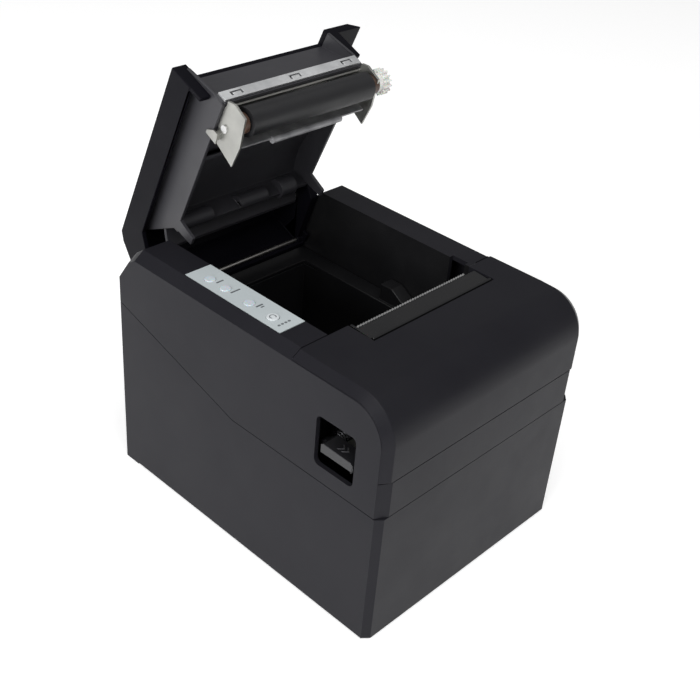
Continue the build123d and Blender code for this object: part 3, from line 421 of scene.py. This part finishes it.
# Plain strokes stand where words would be printed.
word_lengths = (4.6, 6.0, 4.4)
word_aside, word_below, word_breadth = 2.2 * MM, 4.6 * MM, 1.0 * MM
strokes = [
    bar(lamp_line + word_aside, row - word_below, length * MM, word_breadth)
    for row, length in zip(lamp_rows, word_lengths)
]
short_aside, short_below = 2.6 * MM, 6.3 * MM
strokes.append(bar(lamp_line + short_aside, lamp_rows[2] - short_below, 2.2 * MM, 0.8 * MM))
button_row = (button_low.y + button_high.y) / 2
dash_start, dash_step, dash_below = -2.4, 2.1, 6.8 * MM
for dash in range(4):
    dash_x = lamp_line + (dash_start + dash_step * dash) * MM
    strokes.append(bar(dash_x, button_row - dash_below, 1.6 * MM, 1.3 * MM))
raised("label_strokes", strokes, label_high.z - sunk, print_rise, "housing", ink)

border_inset = 0.5 * MM
border_end = 0.75 * MM
border_left, border_right = label_low.x + border_inset, label_high.x - border_inset
border = [
    rectangle(border_left, border_right, label_low.y + border_inset, label_low.y + border_end),
    rectangle(border_left, border_right, label_high.y - border_end, label_high.y - border_inset),
]
raised("label_border", border, label_high.z - sunk, 0.05 * MM, "housing", label_grey)
raised(
    "button_mark", [arc_band(lamp_line, button_row, 1.5 * MM, 0.5 * MM, -60, 215)],
    button_high.z - sunk, print_rise, "feed_button", ink,
)

# Two moulded chevrons show which way the lever is pressed; their lighter black is a painted highlight.
latch_low, latch_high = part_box("release_latch")
middle = latch_low.x + 4.6 * MM
first_tip, chevron_step = 7.0, 2.6
wing, sweep, thickness = 2.2 * MM, 2.0 * MM, 1.0 * MM
chevrons = []
for count in range(2):
    tip = latch_low.y + (first_tip + chevron_step * count) * MM
    chevrons.append([
        (middle, tip), (middle + wing, tip + sweep), (middle + wing, tip + sweep + thickness),
        (middle, tip + thickness), (middle - wing, tip + sweep + thickness), (middle - wing, tip + sweep),
    ])
chevron_base = latch_high.z - 4.7 * MM
raised("lever_mark", chevrons, chevron_base, 0.75 * MM, "release_latch", painted_light_black)

# A blank rating plate under the floor.
floor_low, floor_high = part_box("bottom_plate")
plate_side = 30 * MM
plate_right = floor_high.x - 19.7 * MM
plate_front = floor_low.y + 15.5 * MM
plate_outline = rectangle(plate_right - plate_side, plate_right, plate_front, plate_front + plate_side)
plate_base = floor_low.z - 0.12 * MM
raised("rating_plate", [plate_outline], plate_base, 0.14 * MM, "housing", label_grey)


# ---------------------------------------------------------------- floor, light and camera
def soft_box(name, place_at, aim_at, size, power):
    data = bpy.data.lights.new(name, "AREA")
    data.shape = "RECTANGLE"
    data.size, data.size_y = size
    data.energy = power
    light = bpy.data.objects.new(name, data)
    light.location = place_at
    light.rotation_euler = (Vector(aim_at) - Vector(place_at)).to_track_quat("-Z", "Y").to_euler()
    bpy.context.scene.collection.objects.link(light)


def make_floor(half=6.0):
    shape = bmesh.new()
    bmesh.ops.create_grid(shape, x_segments=4, y_segments=4, size=half)
    mesh = bpy.data.meshes.new("floor")
    shape.to_mesh(mesh)
    shape.free()
    floor = bpy.data.objects.new("floor", mesh)
    bpy.context.scene.collection.objects.link(floor)
    material, shader = new_material("floor_white", roughness=0.9, emission_strength=0.46)
    shader.inputs["Base Color"].default_value = (0.86, 0.86, 0.86, 1)
    shader.inputs["Emission Color"].default_value = (1, 1, 1, 1)
    paint(floor, material)


make_floor()
world = bpy.data.worlds.new("studio")
bpy.context.scene.world = world
world.use_nodes = True
world.node_tree.nodes["Background"].inputs["Color"].default_value = (1, 1, 1, 1)
world.node_tree.nodes["Background"].inputs["Strength"].default_value = 0.24
soft_box("overhead", (-0.2, -0.5, 2.0), (0, 0, 0.1), (1.8, 1.8), 24)
soft_box("front_box", (-0.9, -1.6, 1.3), (0, 0, 0.1), (1.0, 0.7), 2)
soft_box("side_box", (-1.7, -0.2, 0.7), (0, 0, 0.08), (1.2, 0.9), 20)

# The camera looks at a point inside the housing, a little off its middle line.
low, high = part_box("base_shell")
aim_right, aim_rear, aim_height = 0.0079, 0.0031, 0.0821
aim = Vector(((low.x + high.x) / 2 + aim_right, (low.y + high.y) / 2 + aim_rear, aim_height))
azimuth, elevation, roll = radians(-48.64), radians(33.46), radians(5.07)
distance = 0.5885
back = Vector((sin(azimuth) * cos(elevation), -cos(azimuth) * cos(elevation), sin(elevation)))
level = (-back).cross(Vector((0, 0, 1))).normalized()
upright = level.cross(-back)
right = level * cos(roll) + upright * sin(roll)
up = upright * cos(roll) - level * sin(roll)
camera_data = bpy.data.cameras.new("camera")
camera_data.lens = 57.87
camera_data.sensor_width = 36.0
camera = bpy.data.objects.new("camera", camera_data)
turn = Matrix((right, up, back)).transposed().to_4x4()
camera.matrix_world = Matrix.Translation(aim + back * distance) @ turn
bpy.context.scene.collection.objects.link(camera)
bpy.context.scene.camera = camera
bpy.context.scene.view_settings.view_transform = "Standard"

bpy.context.view_layer.update()
